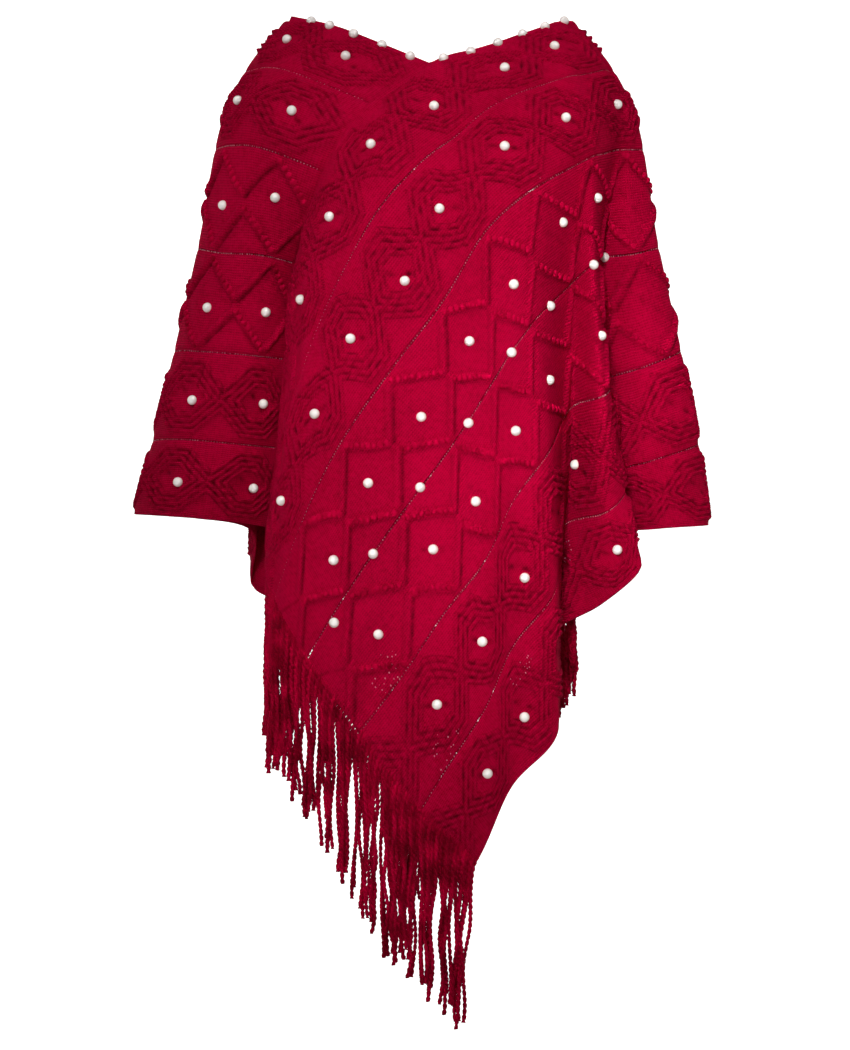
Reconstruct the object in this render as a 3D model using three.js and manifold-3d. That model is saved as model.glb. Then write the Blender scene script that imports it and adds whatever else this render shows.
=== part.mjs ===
// A knitted sweater cape: two equal oblong panels, each fringed on one short end and sewn by the
// other short end to the inner edge of its twin, so that the neck is a V at the front and the back.
// Millimetres, +Z up, the front faces -Y. The origin lies midway between the two shoulder crests.
import * as THREE from "three";
import Module from "manifold-3d";

const wasm = await Module();
wasm.setup();

// The cut of one panel, laid flat: u runs from the fringed end, v from the inner edge.
const PANEL_LENGTH = 880;
const PANEL_WIDTH = 560;
const BAND_COUNT = 6;
const BAND_WIDTH = PANEL_WIDTH / BAND_COUNT;
const MOTIF_PITCH = 85;
const FIRST_MOTIF = 72;
const DIAMOND_BANDS = [2, 3];

// The cloth and what is raised on it.
const WALL = 3;
const SEAM_GAP = 0.36;
const CABLE_RISE = 3;
const PEARL_RISE = 5;
const OPENWORK_SINK = 0.8;

// The fringe.
const STRIP_HEIGHT = 6;
const STRIP_THICKNESS = 3.3;
const STRIP_GAP = 0.6;
const STRAND_COUNT = 76;
const STRAND_RADIUS = 1.7;
const STRAND_SIDES = 3;
const STRAND_LENGTH = 158;
const STRAND_SPREAD = 14;
const STRAND_ROOT = 3;
// Angles, in radians for each strand along, whose waves make neighbouring strands differ.
const STRAND_WAVES = [2.4, 0.9];

// Sampling of the cloth. The shares are of a band's width or a motif's pitch.
// The plain inside has only the lining shares, and the outside lies over its facets.
const MOTIF_SHARES = [0, 0.18, 0.41, 0.5, 0.59, 0.82];
const LINING_SHARES = [0.18, 0.5, 0.82];
const EDGE_MARGIN = 7;
const PROBE = 1;
const HALVINGS = 40;

// Where the relief lies, in the same shares, from the middle of a motif or of a band.
const PEARL_REACH = 0.01;
const OPENWORK_FROM = 0.49;
const DIAMOND_SIDE = 0.5;
const DIAMOND_HALF_WIDTH = 0.11;
const HEXAGON_FROM = 0.3;
const HEXAGON_TO = 0.45;

const CRIMSON = 0x9b0b2b;
const FRINGE_CRIMSON = 0x8f0a28;
const KNIT_ROUGHNESS = 0.92;
const LEVELS = 4;
const CORNER_POWER = 8;
// How far the slope at the end of a curve leans away from the slope at the next knot.
const END_LEAN = 0.5;

// One row for each fold line from the neck to the free edge of a panel, as it hangs on the wearer.
// neck is the distance along the neck edge from the front V. rim is the distance round the free
// edge from the foot of the front seam. Each place is [x, y, z] a quarter of the way further down.
// front is the front panel. back is its twin, given as if it were turned half round to the front,
// with the fold names of the front: it hangs a little higher, and its seams are the same two.
const FRONT_SEAM = [[0, -50, -53], [-84, -90, -129], [-136, -42, -255], [-148, -18, -398], [-163, -10, -523]];
const BACK_SEAM = [[0, 50, -53], [84, 90, -129], [136, 42, -255], [142, 20, -397], [150, 14, -516]];
const turned = (places) => places.map(([x, y, z]) => [-x, -y, z]);
const FOLDS = [
  { fold: "front seam", neck: 0, rim: 0, front: FRONT_SEAM, back: turned(BACK_SEAM) },
  { fold: "left flank", neck: 4, rim: 94,
    front: [[4, -50, -52], [-69, -97, -136], [-115, -90, -254], [-140, -86, -415], [-161, -68, -555]],
    back: [[4, -50, -52], [-69, -97, -134], [-113, -90, -250], [-134, -86, -405], [-149, -75, -542]] },
  { fold: "left ridge", neck: 6, rim: 150,
    front: [[6, -50, -51], [-56, -100, -134], [-98, -108, -266], [-135, -122, -432], [-158, -104, -578]],
    back: [[6, -50, -51], [-56, -100, -132], [-97, -110, -262], [-126, -124, -424], [-137, -110, -570]] },
  { fold: "left of front", neck: 8, rim: 187,
    front: [[8, -50, -50], [-50, -102, -132], [-85, -115, -271], [-118, -131, -428], [-152, -125, -596]],
    back: [[8, -50, -50], [-50, -102, -130], [-84, -117, -266], [-108, -133, -418], [-122, -128, -586]] },
  { fold: "front left", neck: 25, rim: 330,
    front: [[24, -50, -44], [-11, -108, -149], [-30, -128, -319], [-57, -140, -497], [-95, -138, -686]],
    back: [[24, -50, -44], [-11, -108, -146], [-30, -130, -312], [-50, -144, -485], [-70, -146, -656]] },
  { fold: "front middle", neck: 50, rim: 450,
    front: [[48, -47, -38], [23, -110, -157], [24, -134, -343], [9, -143, -543], [-17, -145, -770]],
    back: [[48, -47, -38], [23, -110, -153], [24, -134, -335], [12, -146, -528], [-2, -149, -732]] },
  { fold: "front point", neck: 75, rim: 560,
    front: [[72, -43, -30], [59, -109, -143], [59, -134, -346], [54, -142, -575], [48, -140, -779]],
    back: [[72, -43, -30], [59, -109, -140], [59, -134, -338], [56, -145, -558], [52, -146, -742]] },
  { fold: "right of point", neck: 95, rim: 650,
    front: [[89, -38, -23], [87, -100, -132], [82, -131, -335], [82, -139, -548], [81, -138, -749]],
    back: [[89, -38, -23], [87, -100, -130], [82, -131, -327], [82, -142, -533], [80, -143, -716]] },
  { fold: "right ridge", neck: 115, rim: 745,
    front: [[106, -30, -16], [116, -88, -121], [107, -118, -313], [119, -125, -515], [125, -128, -718]],
    back: [[106, -30, -16], [116, -88, -119], [107, -118, -306], [115, -128, -500], [114, -132, -688]] },
  { fold: "right valley", neck: 140, rim: 865,
    front: [[125, -17, -7], [149, -75, -108], [145, -62, -275], [145, -38, -460], [123, -34, -630]],
    back: [[125, -17, -7], [149, -75, -107], [145, -62, -271], [143, -40, -452], [126, -34, -616]] },
  { fold: "flare slope", neck: 145, rim: 930,
    front: [[129, -14, -5], [162, -66, -104], [163, -75, -260], [175, -88, -455], [172, -72, -600]],
    back: [[129, -14, -5], [162, -66, -103], [160, -75, -257], [167, -88, -450], [161, -76, -600]] },
  { fold: "flare ridge", neck: 150, rim: 990,
    front: [[132, -10, -4], [175, -52, -99], [170, -56, -256], [189, -62, -443], [209, -98, -565]],
    back: [[132, -10, -2], [175, -52, -98], [168, -56, -253], [180, -62, -440], [187, -92, -586]] },
  { fold: "arm tuck", neck: 155, rim: 1090,
    front: [[135, -6, -2], [191, -30, -92], [179, -14, -246], [183, -8, -425], [188, -12, -530]],
    back: [[135, -6, 0], [191, -30, -92], [179, -14, -246], [181, -8, -422], [186, -12, -524]] },
  { fold: "arm front", neck: 158, rim: 1160,
    front: [[137, -3, -1], [199, -18, -91], [205, -30, -245], [220, -40, -413], [233, -44, -524]],
    back: [[137, -3, 1], [199, -18, -90], [207, -30, -243], [225, -40, -409], [246, -44, -513]] },
  { fold: "arm edge", neck: 160, rim: 1250,
    front: [[138, 0, 0], [206, 0, -91], [235, 0, -236], [269, 0, -391], [287, 0, -520]],
    back: [[138, 0, 3], [206, 0, -89], [237, 0, -236], [273, 0, -391], [303, 0, -509]] },
  { fold: "arm back", neck: 215, rim: 1310,
    front: [[98, 35, -20], [187, 35, -90], [210, 40, -245], [236, 46, -393], [258, 46, -518]],
    back: [[98, 35, -12], [187, 35, -88], [212, 40, -244], [240, 46, -391], [269, 46, -511]] },
  { fold: "shoulder blade", neck: 268, rim: 1390,
    front: [[50, 47, -37], [147, 70, -102], [164, 58, -249], [177, 44, -396], [189, 38, -519]],
    back: [[50, 47, -32], [147, 70, -101], [164, 58, -249], [180, 44, -396], [198, 38, -517]] },
  { fold: "back seam", neck: 320, rim: 1440, front: BACK_SEAM, back: turned(FRONT_SEAM) },
];

// Value at t of a smooth curve through values at rising knots. Its slope at a knot comes from the
// spans on both sides, or, when steady is true, never lets the curve turn back.
function smoothCurve(knots, values, t, steady = false) {
  const last = knots.length - 1;
  let i = 0;
  while (i < last - 1 && t > knots[i + 1]) i += 1;
  const rate = (k) => (values[k + 1] - values[k]) / (knots[k + 1] - knots[k]);
  const slope = (k) => {
    if (k === 0) return (1 + END_LEAN) * rate(0) - END_LEAN * inner(1);
    if (k === last) return (1 + END_LEAN) * rate(last - 1) - END_LEAN * inner(last - 1);
    return inner(k);
  };
  const inner = (k) => {
    const before = rate(k - 1);
    const after = rate(k);
    if (steady) return before * after > 0 ? (2 * before * after) / (before + after) : 0;
    const near = knots[k] - knots[k - 1];
    const far = knots[k + 1] - knots[k];
    return (before * far + after * near) / (near + far);
  };
  const span = knots[i + 1] - knots[i];
  if (t > knots[last]) return values[last] + slope(last) * (t - knots[last]);
  const s = (t - knots[i]) / span;
  const s2 = s * s;
  const s3 = s2 * s;
  return (2 * s3 - 3 * s2 + 1) * values[i] + (3 * s2 - 2 * s3) * values[i + 1]
    + span * ((s3 - 2 * s2 + s) * slope(i) + (s3 - s2) * slope(i + 1));
}

const RIMS = FOLDS.map((row) => row.rim);
const NECKS = FOLDS.map((row) => row.neck);
const LEVEL_KNOTS = Array.from({ length: LEVELS + 1 }, (_, k) => k / LEVELS);

// Where the straight line through a rim distance starts on the neck edge, and ends on the rim.
const neckStart = (rim) => PANEL_WIDTH + smoothCurve(RIMS, NECKS, rim, true);
const rimEnd = (rim) => (rim < PANEL_WIDTH ? [0, rim] : [rim - PANEL_WIDTH, PANEL_WIDTH]);

// The middle of a panel's cloth at a flat point.
function cloth(panel, u, v) {
  let low = 0;
  let high = RIMS[RIMS.length - 1];
  for (let k = 0; k < HALVINGS; k += 1) {
    const rim = (low + high) / 2;
    const start = neckStart(rim);
    const [endU, endV] = rimEnd(rim);
    if ((endU - start) * v - endV * (u - start) < 0) low = rim;
    else high = rim;
  }
  const rim = (low + high) / 2;
  const start = neckStart(rim);
  const down = Math.max(v / PANEL_WIDTH, 0);
  const along = Math.max((start - u) / start, 0);
  const level = (down ** CORNER_POWER + along ** CORNER_POWER) ** (1 / CORNER_POWER);
  const place = [0, 1, 2].map((axis) => {
    const rings = LEVEL_KNOTS.map((_, k) =>
      smoothCurve(RIMS, FOLDS.map((row) => row[panel][k][axis]), rim));
    return smoothCurve(LEVEL_KNOTS, rings, level);
  });
  return new THREE.Vector3(...place);
}

const halfTurn = (p) => new THREE.Vector3(-p.x, -p.y, p.z);
const twinOf = (panel) => (panel === "front" ? "back" : "front");

// Directions along u and v, and the outward normal, at a flat point.
function directions(panel, u, v) {
  const stepU = u + PROBE > PANEL_LENGTH ? -PROBE : PROBE;
  const stepV = v + PROBE > PANEL_WIDTH ? -PROBE : PROBE;
  const here = cloth(panel, u, v);
  const alongU = cloth(panel, u + stepU, v).sub(here).multiplyScalar(1 / stepU);
  const alongV = cloth(panel, u, v + stepV).sub(here).multiplyScalar(1 / stepV);
  const normal = alongV.clone().cross(alongU).normalize();
  return { here, alongU, alongV, normal };
}

const onInnerSeam = (u, v) => v === 0 && u <= PANEL_WIDTH;
const onSewnEnd = (u) => u === PANEL_LENGTH;

// The middle of the cloth and its normal. On the seam the normal is shared with the twin panel, and
// the edge stands back by half the seam's gap.
function framedPoint(panel, u, v) {
  const { here, alongU, alongV, normal } = directions(panel, u, v);
  const sewn = onSewnEnd(u);
  if (!sewn && !onInnerSeam(u, v)) return { middle: here, normal };
  const [twinU, twinV] = sewn ? [PANEL_WIDTH - v, 0] : [PANEL_LENGTH, PANEL_WIDTH - u];
  const twin = directions(twinOf(panel), twinU, twinV);
  const shared = normal.clone().add(halfTurn(twin.normal)).normalize();
  const seamLine = (sewn ? alongV : alongU).clone().normalize();
  const inward = sewn ? alongU.clone().negate() : alongV.clone();
  const back = seamLine.clone().cross(shared).normalize();
  if (back.dot(inward) < 0) back.negate();
  return { middle: here.addScaledVector(back, SEAM_GAP / 2), normal: shared };
}

// Height of the knitted relief above the cloth at a flat point.
function relief(u, v) {
  const edge = Math.min(u, PANEL_LENGTH - u, v, PANEL_WIDTH - v);
  if (edge < EDGE_MARGIN) return 0;
  const band = Math.floor(v / BAND_WIDTH);
  const across = Math.abs(v / BAND_WIDTH - band - 0.5);
  const turn = (u - FIRST_MOTIF) / MOTIF_PITCH;
  const along = Math.abs(turn - Math.round(turn));
  const reach = across + along;
  const onOpenwork = across > OPENWORK_FROM;
  if (reach < PEARL_REACH) return PEARL_RISE;
  const isDiamond = DIAMOND_BANDS.includes(band);
  const diamond = Math.abs(reach - DIAMOND_SIDE) < DIAMOND_HALF_WIDTH;
  const hexagon = !onOpenwork && reach > HEXAGON_FROM && reach < HEXAGON_TO;
  if (isDiamond ? diamond : hexagon) return CABLE_RISE;
  return onOpenwork ? -OPENWORK_SINK : 0;
}

// A mesh under construction: points and faces.
const newShell = () => ({ points: [], faces: [] });

function addPoint(shell, p) {
  shell.points.push(p.x, p.y, p.z);
  return shell.points.length / 3 - 1;
}

function addFace(shell, a, b, c, flipped) {
  shell.faces.push(a, flipped ? c : b, flipped ? b : c);
}

// Joins two closed rings of points that run the same way, each with its own sampling.
// turns gives each point's way round, from 0 to 4, one side of the panel to each unit.
function zipRings(shell, outer, outerTurns, inner, innerTurns, flipped) {
  let i = 0;
  let j = 0;
  const wrap = (list, k) => list[k % list.length];
  const turnOf = (turns, k) => (k < turns.length ? turns[k] : 4);
  while (i < outer.length || j < inner.length) {
    const nextOuter = i < outer.length ? turnOf(outerTurns, i + 1) : Infinity;
    const nextInner = j < inner.length ? turnOf(innerTurns, j + 1) : Infinity;
    if (nextOuter <= nextInner) {
      addFace(shell, wrap(outer, i), wrap(outer, i + 1), wrap(inner, j), flipped);
      i += 1;
    } else {
      addFace(shell, wrap(outer, i), wrap(inner, j + 1), wrap(inner, j), flipped);
      j += 1;
    }
  }
}

// The border of a rectangle in flat coordinates, side by side from its first corner.
function borderOf(sides) {
  const border = [];
  const turns = [];
  sides.forEach((side, k) => {
    const count = side.length - 1;
    const [u0, v0] = side[0];
    const [u1, v1] = side[count];
    const length = Math.abs(u1 - u0) + Math.abs(v1 - v0);
    side.slice(0, count).forEach(([u, v]) => {
      border.push([u, v]);
      turns.push(k + (Math.abs(u - u0) + Math.abs(v - v0)) / length);
    });
  });
  return { border, turns };
}

// One face of the wall: a grid inside the panel, joined to the ring of its edge points.
// framed gives the middle of the cloth and its normal, lift the height above that middle.
function addSheet(shell, columns, rows, framed, lift, edge, flipped) {
  const grid = rows.map((v) => columns.map((u) => {
    const { middle, normal } = framed(u, v);
    return addPoint(shell, middle.clone().addScaledVector(normal, lift(u, v)));
  }));
  for (let r = 0; r + 1 < rows.length; r += 1) {
    for (let c = 0; c + 1 < columns.length; c += 1) {
      const [a, b, d, e] = [grid[r][c], grid[r][c + 1], grid[r + 1][c + 1], grid[r + 1][c]];
      const rise = (cc, rr) => lift(columns[cc], rows[rr]);
      const risingPair = rise(c, r) + rise(c + 1, r + 1) - rise(c + 1, r) - rise(c, r + 1);
      if (risingPair > WALL / 10) {
        addFace(shell, a, b, d, flipped);
        addFace(shell, a, d, e, flipped);
      } else {
        addFace(shell, a, b, e, flipped);
        addFace(shell, b, d, e, flipped);
      }
    }
  }
  const lastRow = rows.length - 1;
  const lastColumn = columns.length - 1;
  const { turns } = borderOf([
    columns.map((u) => [u, rows[0]]),
    rows.map((v) => [columns[lastColumn], v]),
    [...columns].reverse().map((u) => [u, rows[lastRow]]),
    [...rows].reverse().map((v) => [columns[0], v]),
  ]);
  const ring = [
    ...grid[0].slice(0, lastColumn),
    ...grid.slice(0, lastRow).map((row) => row[lastColumn]),
    ...[...grid[lastRow]].reverse().slice(0, lastColumn),
    ...grid.slice(1).reverse().map((row) => row[0]),
  ];
  zipRings(shell, edge.ring, edge.turns, ring, turns, flipped);
}

const evenSteps = (from, to, count) =>
  Array.from({ length: count + 1 }, (_, k) => from + ((to - from) * k) / count);

const inside = (stops, length) =>
  stops.filter((stop) => stop > EDGE_MARGIN && stop < length - EDGE_MARGIN);
const rowStops = (shares) => inside(evenSteps(0, BAND_COUNT - 1, BAND_COUNT - 1).flatMap((band) =>
  shares.map((share) => (band + share) * BAND_WIDTH)), PANEL_WIDTH);
// The motifs start one before the first whole one, which the fringed end cuts off.
const motifCount = Math.ceil(PANEL_LENGTH / MOTIF_PITCH);
const columnStops = (shares) => inside(evenSteps(-1, motifCount, motifCount + 1).flatMap((turn) =>
  shares.map((share) => FIRST_MOTIF + (turn - 0.5 + share) * MOTIF_PITCH)), PANEL_LENGTH);
const panelRows = [0, ...rowStops(MOTIF_SHARES), PANEL_WIDTH];
const panelColumns = [0, ...columnStops(MOTIF_SHARES), PANEL_LENGTH];
const liningRows = rowStops(LINING_SHARES);
const liningColumns = columnStops(LINING_SHARES);

// The facets of the inside, as a function of the flat point: the middle of the cloth and its normal.
function facetedCloth(panel) {
  const net = liningRows.map((v) => liningColumns.map((u) => framedPoint(panel, u, v)));
  const cellOf = (stops, t) => {
    let k = 0;
    while (k < stops.length - 2 && t > stops[k + 1]) k += 1;
    return [k, (t - stops[k]) / (stops[k + 1] - stops[k])];
  };
  return (u, v) => {
    const [c, s] = cellOf(liningColumns, u);
    const [r, t] = cellOf(liningRows, v);
    const near = s + t <= 1;
    const base = near ? net[r][c] : net[r + 1][c + 1];
    const sideways = near ? net[r][c + 1] : net[r + 1][c];
    const upward = near ? net[r + 1][c] : net[r][c + 1];
    const [a, b] = near ? [s, t] : [1 - s, 1 - t];
    const mix = (key) => base[key].clone().multiplyScalar(1 - a - b)
      .addScaledVector(sideways[key], a).addScaledVector(upward[key], b);
    return { middle: mix("middle"), normal: mix("normal").normalize() };
  };
}

// A panel's wall as one closed solid. Its inner edge is sampled as its sewn end is, so that the
// two meet evenly where the twin panel is sewn on.
function panelSolid(panel) {
  const shell = newShell();
  const seamStops = [...panelRows].reverse().map((v) => PANEL_WIDTH - v);
  const neckStops = panelColumns.filter((u) => u > PANEL_WIDTH + EDGE_MARGIN);
  const { border, turns } = borderOf([
    [...seamStops, ...neckStops].map((u) => [u, 0]),
    panelRows.map((v) => [PANEL_LENGTH, v]),
    [...panelColumns].reverse().map((u) => [u, PANEL_WIDTH]),
    [...panelRows].reverse().map((v) => [0, v]),
  ]);
  const edgeRing = (lift) => border.map(([u, v]) => {
    const { middle, normal } = framedPoint(panel, u, v);
    return addPoint(shell, middle.addScaledVector(normal, lift));
  });
  const outerRing = edgeRing(WALL / 2);
  const innerRing = edgeRing(-WALL / 2);
  const columns = panelColumns.slice(1, -1);
  const rows = panelRows.slice(1, -1);
  const outerLift = (u, v) => WALL / 2 + relief(u, v);
  const innerLift = () => -WALL / 2;
  const [outerEdge, innerEdge] = [{ ring: outerRing, turns }, { ring: innerRing, turns }];
  const smoothCloth = (u, v) => framedPoint(panel, u, v);
  addSheet(shell, columns, rows, facetedCloth(panel), outerLift, outerEdge, true);
  addSheet(shell, liningColumns, liningRows, smoothCloth, innerLift, innerEdge, false);
  border.forEach((_, k) => {
    const next = (k + 1) % border.length;
    addFace(shell, outerRing[k], outerRing[next], innerRing[k], false);
    addFace(shell, outerRing[next], innerRing[next], innerRing[k], false);
  });
  return solidOf(shell);
}

function solidOf(shell) {
  return new wasm.Manifold(new wasm.Mesh({
    numProp: 3,
    vertProperties: new Float32Array(shell.points),
    triVerts: new Uint32Array(shell.faces),
  }));
}

// The narrow strip that the fringe hangs from, below the fringed end's edge.
function stripSolid(panel) {
  const shell = newShell();
  const rings = panelRows.map((v) => {
    const { middle, normal } = framedPoint(panel, 0, v);
    const down = directions(panel, 0, v).alongU.normalize().negate();
    const corner = (drop, side) => addPoint(shell, middle.clone()
      .addScaledVector(down, drop).addScaledVector(normal, (side * STRIP_THICKNESS) / 2));
    const bottom = STRIP_GAP + STRIP_HEIGHT;
    return [corner(STRIP_GAP, 1), corner(bottom, 1), corner(bottom, -1), corner(STRIP_GAP, -1)];
  });
  for (let k = 0; k + 1 < rings.length; k += 1) {
    for (let side = 0; side < 4; side += 1) {
      const next = (side + 1) % 4;
      addFace(shell, rings[k][side], rings[k][next], rings[k + 1][next], false);
      addFace(shell, rings[k][side], rings[k + 1][next], rings[k + 1][side], false);
    }
  }
  const [first, last] = [rings[0], rings[rings.length - 1]];
  addFace(shell, first[0], first[2], first[1], false);
  addFace(shell, first[0], first[3], first[2], false);
  addFace(shell, last[0], last[1], last[2], false);
  addFace(shell, last[0], last[2], last[3], false);
  return solidOf(shell);
}

// One hanging strand, a slim prism whose length varies a little from strand to strand.
function strandSolid(panel, number) {
  const shell = newShell();
  const share = (number + 0.5) / STRAND_COUNT;
  const { here, alongU } = directions(panel, 0, share * PANEL_WIDTH);
  const down = alongU.clone().normalize().negate();
  const root = here.addScaledVector(down, STRIP_GAP + STRAND_ROOT);
  const vary = Math.sin(number * STRAND_WAVES[0]) * Math.cos(number * STRAND_WAVES[1]);
  const foot = root.clone();
  foot.z -= STRAND_LENGTH + STRAND_SPREAD * (vary + share);
  foot.x += STRAND_RADIUS * vary;
  const ring = (centre) => Array.from({ length: STRAND_SIDES }, (_, k) => {
    const angle = (2 * Math.PI * k) / STRAND_SIDES;
    const reach = new THREE.Vector3(Math.cos(angle), Math.sin(angle), 0).multiplyScalar(STRAND_RADIUS);
    return addPoint(shell, reach.add(centre));
  });
  const top = ring(root);
  const bottom = ring(foot);
  for (let k = 0; k < STRAND_SIDES; k += 1) {
    const next = (k + 1) % STRAND_SIDES;
    addFace(shell, bottom[k], bottom[next], top[next], false);
    addFace(shell, bottom[k], top[next], top[k], false);
  }
  for (let k = 1; k + 1 < STRAND_SIDES; k += 1) {
    addFace(shell, top[0], top[k], top[k + 1], false);
    addFace(shell, bottom[0], bottom[k + 1], bottom[k], false);
  }
  return solidOf(shell);
}

function fringeSolid(panel) {
  let fringe = stripSolid(panel);
  for (let number = 0; number < STRAND_COUNT; number += 1) {
    fringe = fringe.add(strandSolid(panel, number));
  }
  return fringe;
}

// A named mesh of a solid, turned half round the upright axis for the twin.
function meshOf(name, solid, colour, turned) {
  const { numProp, vertProperties, triVerts } = solid.getMesh();
  const geometry = new THREE.BufferGeometry();
  const points = new Float32Array((vertProperties.length / numProp) * 3);
  for (let k = 0; k * numProp < vertProperties.length; k += 1)
    points.set(vertProperties.subarray(k * numProp, k * numProp + 3), k * 3);
  geometry.setAttribute("position", new THREE.BufferAttribute(points, 3));
  geometry.setIndex(new THREE.BufferAttribute(new Uint32Array(triVerts), 1));
  geometry.computeVertexNormals();
  const material = new THREE.MeshStandardMaterial({ color: colour, roughness: KNIT_ROUGHNESS, metalness: 0 });
  const mesh = new THREE.Mesh(geometry, material);
  mesh.name = name;
  mesh.rotation.z = turned ? Math.PI : 0;
  return mesh;
}

const group = new THREE.Group();
group.add(
  meshOf("front_right_panel", panelSolid("front"), CRIMSON, false),
  meshOf("back_left_panel", panelSolid("back"), CRIMSON, true),
  meshOf("front_fringe", fringeSolid("front"), FRINGE_CRIMSON, false),
  meshOf("back_fringe", fringeSolid("back"), FRINGE_CRIMSON, true),
);

export default group;
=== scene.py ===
# The looks of a knitted sweater cape: two oblong panels of crimson knit, each sewn by one short
# end to the inner edge of its twin, with half-round pearls, rows of openwork and a twisted fringe.
# Metres, +Z up, the front faces -Y. The origin lies midway between the two shoulder crests.
import math
import random
import bpy
import numpy as np
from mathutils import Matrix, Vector


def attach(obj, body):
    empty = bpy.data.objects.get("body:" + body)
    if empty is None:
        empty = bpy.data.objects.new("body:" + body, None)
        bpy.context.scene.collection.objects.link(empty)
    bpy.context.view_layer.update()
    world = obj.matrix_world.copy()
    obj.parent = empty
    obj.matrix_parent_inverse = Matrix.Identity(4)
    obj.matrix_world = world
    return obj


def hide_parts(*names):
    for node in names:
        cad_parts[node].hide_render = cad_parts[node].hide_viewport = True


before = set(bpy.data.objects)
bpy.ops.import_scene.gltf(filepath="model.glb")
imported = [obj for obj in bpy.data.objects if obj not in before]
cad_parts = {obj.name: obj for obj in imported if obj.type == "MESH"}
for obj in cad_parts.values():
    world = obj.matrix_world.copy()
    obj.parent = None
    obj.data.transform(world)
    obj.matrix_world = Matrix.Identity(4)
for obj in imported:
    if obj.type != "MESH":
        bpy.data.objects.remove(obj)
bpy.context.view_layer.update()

# The cut of one panel, laid flat: u runs from the fringed end, v from the inner edge.
PANEL_LENGTH = 0.880
PANEL_WIDTH = 0.560
BAND_COUNT = 6
BAND_WIDTH = PANEL_WIDTH / BAND_COUNT
MOTIF_PITCH = 0.085
FIRST_MOTIF = 0.072
MOTIF_COLUMNS = 10
DIAMOND_BANDS = (2, 3)

# The cloth, cut into bands by the rows of openwork.
OUTSIDE = 0.0015
INSIDE = 0.0010
SEAM_GAP = 0.00036
OPENWORK_GAP = 0.0012
HEXAGON_STEP = 0.0018
DIAMOND_STEP = 0.0019
LINING_STEPS = 4
# PROBE is the step that slopes are measured over. HALVINGS are the steps that find the line on
# which a flat point hangs. CORNER_POWER is how sharply the lines of one level turn their corner.
# END_LEAN is how far the slope at a curve's end leans away from the slope at the next knot.
PROBE = 0.001
HALVINGS = 34
CORNER_POWER = 8
END_LEAN = 0.5

# One row for each fold line from the neck to the free edge of a panel, as it hangs on the wearer.
# neck is the distance along the neck edge from the front V. rim is the distance round the free
# edge from the foot of the front seam. Each place is [x, y, z] a quarter of the way further down.
# front is the front panel. back is its twin, given as if it were turned half round to the front,
# with the fold names of the front: it hangs a little higher, and its seams are the same two.
FRONT_SEAM = [[0, -.050, -.053], [-.084, -.090, -.129], [-.136, -.042, -.255],
              [-.148, -.018, -.398], [-.163, -.010, -.523]]
BACK_SEAM = [[0, .050, -.053], [.084, .090, -.129], [.136, .042, -.255],
             [.142, .020, -.397], [.150, .014, -.516]]


def turned_places(places):
    return [[-x, -y, z] for x, y, z in places]


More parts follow.
